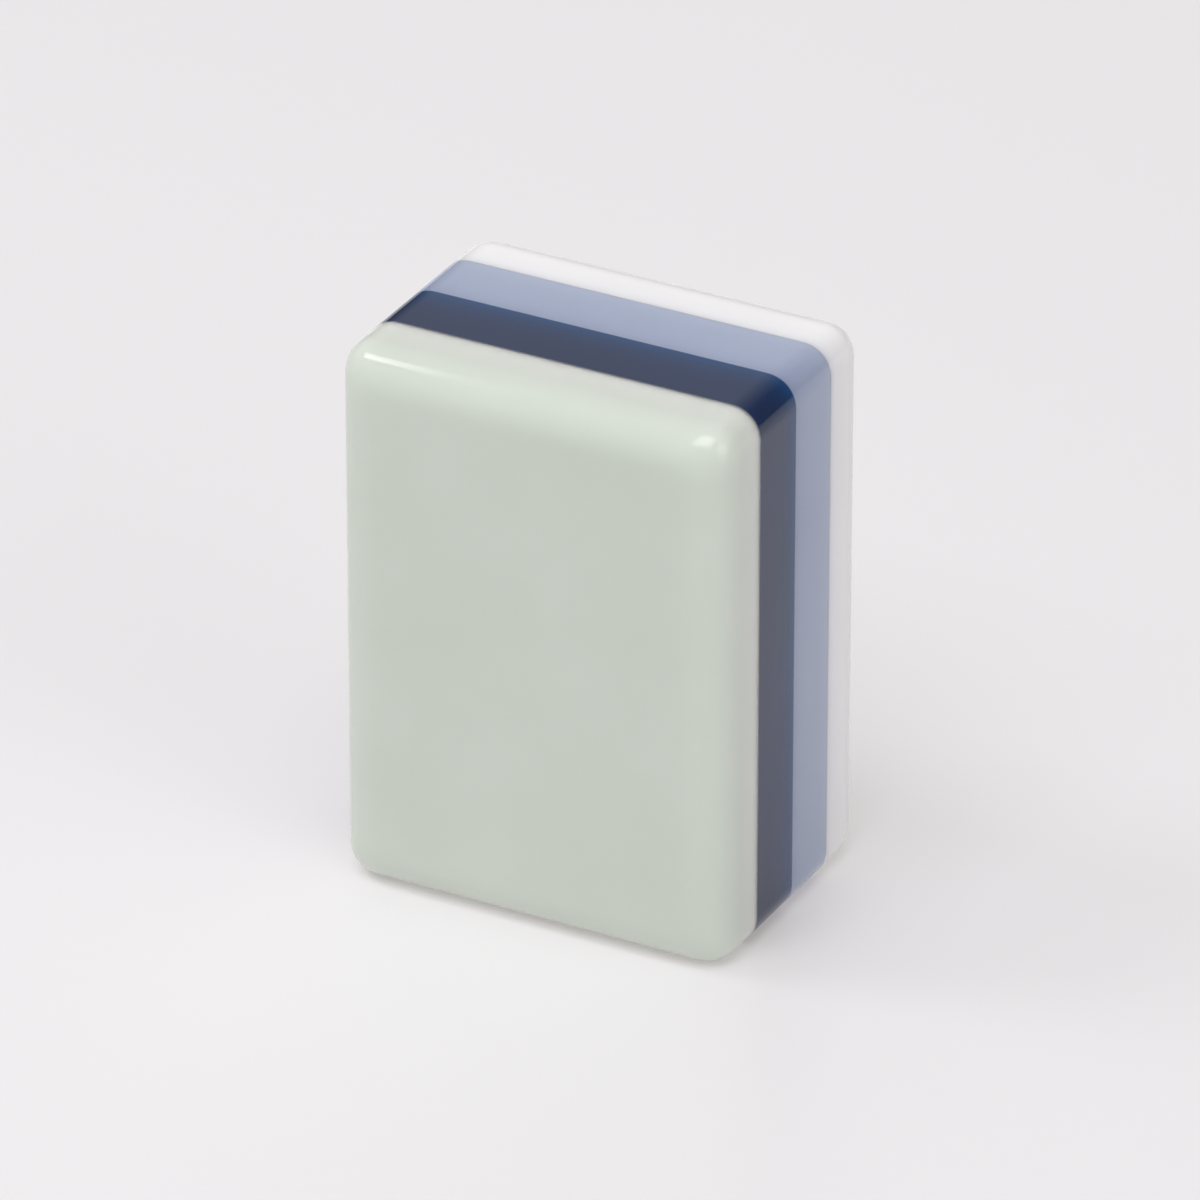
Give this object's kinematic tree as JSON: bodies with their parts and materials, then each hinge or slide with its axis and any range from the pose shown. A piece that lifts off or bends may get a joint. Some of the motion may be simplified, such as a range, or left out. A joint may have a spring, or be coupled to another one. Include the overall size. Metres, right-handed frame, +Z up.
{
  "type": "mahjong tile",
  "caption": "Blank mahjong game tile of bonded mint, navy, periwinkle and white acrylic slabs, with bare broad faces and polished round rims, that stands on its end.",
  "frame": {"origin": "centre of the lower end, on the surface that the tile stands on", "axes": "+Z up along the tile's height, X across its width, Y through its thickness from the mint front at -Y to the white back at +Y"},
  "size_m": [0.022, 0.0156, 0.0304],
  "materials": {
    "mint_acrylic": "polished, slightly translucent",
    "navy_acrylic": "polished, deep colour",
    "periwinkle_acrylic": "polished, slightly translucent",
    "white_acrylic": "polished, slightly translucent",
    "clear_bond": "clear adhesive, polished flush at its edge"
  },
  "bodies": {
    "root": {"mint_slab": "mint_acrylic", "mint_navy_bond": "clear_bond", "navy_slab": "navy_acrylic", "navy_periwinkle_bond": "clear_bond", "periwinkle_slab": "periwinkle_acrylic", "periwinkle_white_bond": "clear_bond", "white_slab": "white_acrylic"}
  },
  "joints": []
}
